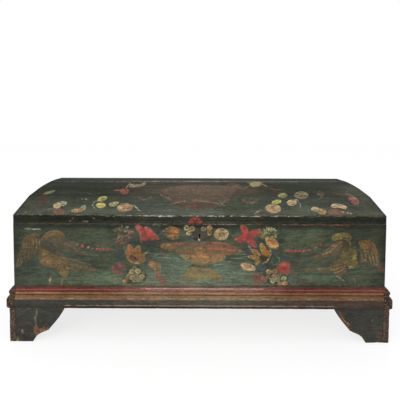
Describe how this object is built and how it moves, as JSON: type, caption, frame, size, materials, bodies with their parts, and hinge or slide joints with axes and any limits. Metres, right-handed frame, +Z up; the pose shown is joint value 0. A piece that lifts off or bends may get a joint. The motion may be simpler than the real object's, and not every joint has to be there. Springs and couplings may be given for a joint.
{
  "type": "painted chest",
  "caption": "Low painted wooden chest with a coopered arched lid on strap hinges, a lock, a moulded base and ogee bracket feet.",
  "frame": {"origin": "on the floor, under the middle of the box that holds the whole piece, lid closed", "axes": "+X along the length to the viewer's right, +Y from the front to the back, +Z up"},
  "size_m": [1.44, 0.6312, 0.5303],
  "materials": {
    "lid_paint": "worn dark slate-green paint",
    "chest_paint": "worn dark green paint with folk flowers",
    "stripe_paint": "worn red and ochre stripes",
    "bare_wood": "aged bare spruce",
    "iron": "dark forged iron"
  },
  "bodies": {
    "chest": {"front_board": "chest_paint", "left_end_board": "chest_paint", "right_end_board": "chest_paint", "front_base_rail": "chest_paint", "left_base_rail": "chest_paint", "right_base_rail": "chest_paint", "front_left_foot": "chest_paint", "front_right_foot": "chest_paint", "front_side_left_foot": "chest_paint", "front_side_right_foot": "chest_paint", "rear_side_left_foot": "chest_paint", "rear_side_right_foot": "chest_paint", "front_base_moulding": "stripe_paint", "left_base_moulding": "stripe_paint", "right_base_moulding": "stripe_paint", "back_board": "bare_wood", "bottom_board_1": "bare_wood", "bottom_board_2": "bare_wood", "bottom_board_3": "bare_wood", "rear_base_rail": "bare_wood", "rear_left_brace": "bare_wood", "rear_right_brace": "bare_wood", "front_left_corner_block": "bare_wood", "front_right_corner_block": "bare_wood", "rear_left_corner_block": "bare_wood", "rear_right_corner_block": "bare_wood", "left_hinge_body_leaf": "iron", "right_hinge_body_leaf": "iron", "left_hinge_pin": "iron", "right_hinge_pin": "iron", "lock_plate": "iron", "lock_spring": "iron"},
    "lid": {"lid_stave_front": "lid_paint", "lid_stave_front_upper": "lid_paint", "lid_stave_crown": "lid_paint", "lid_stave_rear_upper": "lid_paint", "lid_stave_rear": "lid_paint", "lid_front_rail": "lid_paint", "lid_rear_rail": "lid_paint", "lid_left_end": "lid_paint", "lid_right_end": "lid_paint", "lid_left_batten": "bare_wood", "lid_right_batten": "bare_wood", "left_hinge_lid_strap": "iron", "right_hinge_lid_strap": "iron", "lid_staple": "iron"},
    "bolt": {"lock_bolt": "iron"}
  },
  "joints": [
    {"name": "lid_hinge", "type": "hinge", "parent": "chest", "child": "lid", "pos_m": [0, 0.31015, 0.44985], "axis": [-1, 0, 0], "range_deg": [0, 100]},
    {"name": "bolt_slide", "type": "slide", "parent": "chest", "child": "bolt", "axis": [1, 0, 0], "range_m": [0, 0.014]}
  ]
}
